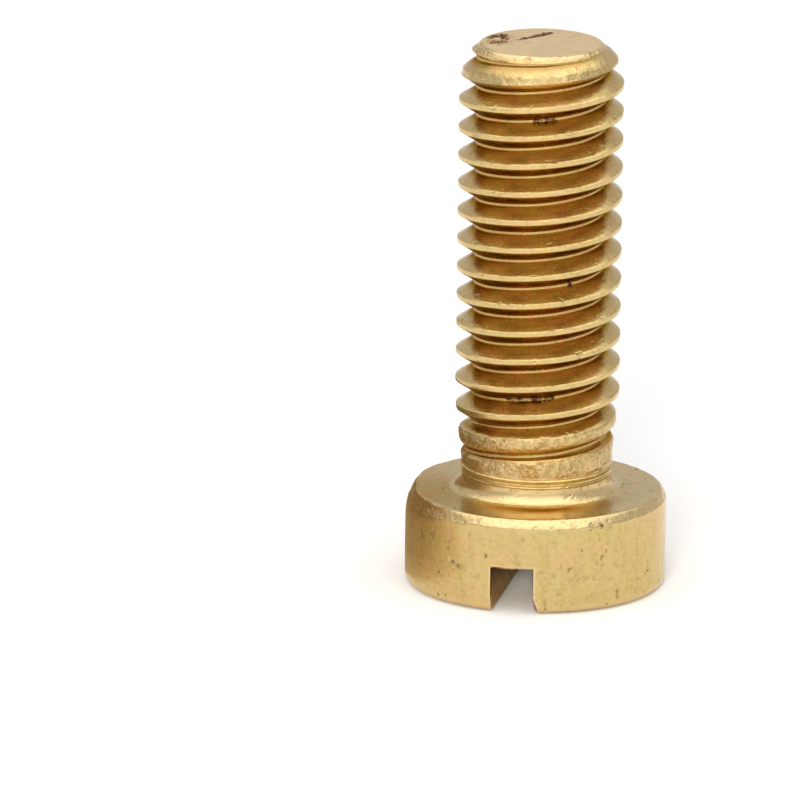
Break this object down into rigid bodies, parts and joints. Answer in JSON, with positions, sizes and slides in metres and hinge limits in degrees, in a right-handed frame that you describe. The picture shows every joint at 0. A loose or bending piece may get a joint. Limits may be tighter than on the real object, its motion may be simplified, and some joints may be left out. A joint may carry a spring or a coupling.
{
  "type": "slotted cheese head machine screw",
  "caption": "Brass machine screw with a cylindrical cheese head, a straight driver slot and a right-hand metric thread, standing on its head.",
  "frame": {"origin": "centre of the slotted face of the head, which is the face that the screw stands on", "axes": "+Z along the axis from the head to the threaded end, +Y along the driver slot"},
  "size_m": [0.0092, 0.0092, 0.0194],
  "materials": {
    "brass": "satin, lightly tarnished in the thread, with small pits and nicks"
  },
  "bodies": {
    "root": {"screw": "brass"}
  },
  "joints": []
}
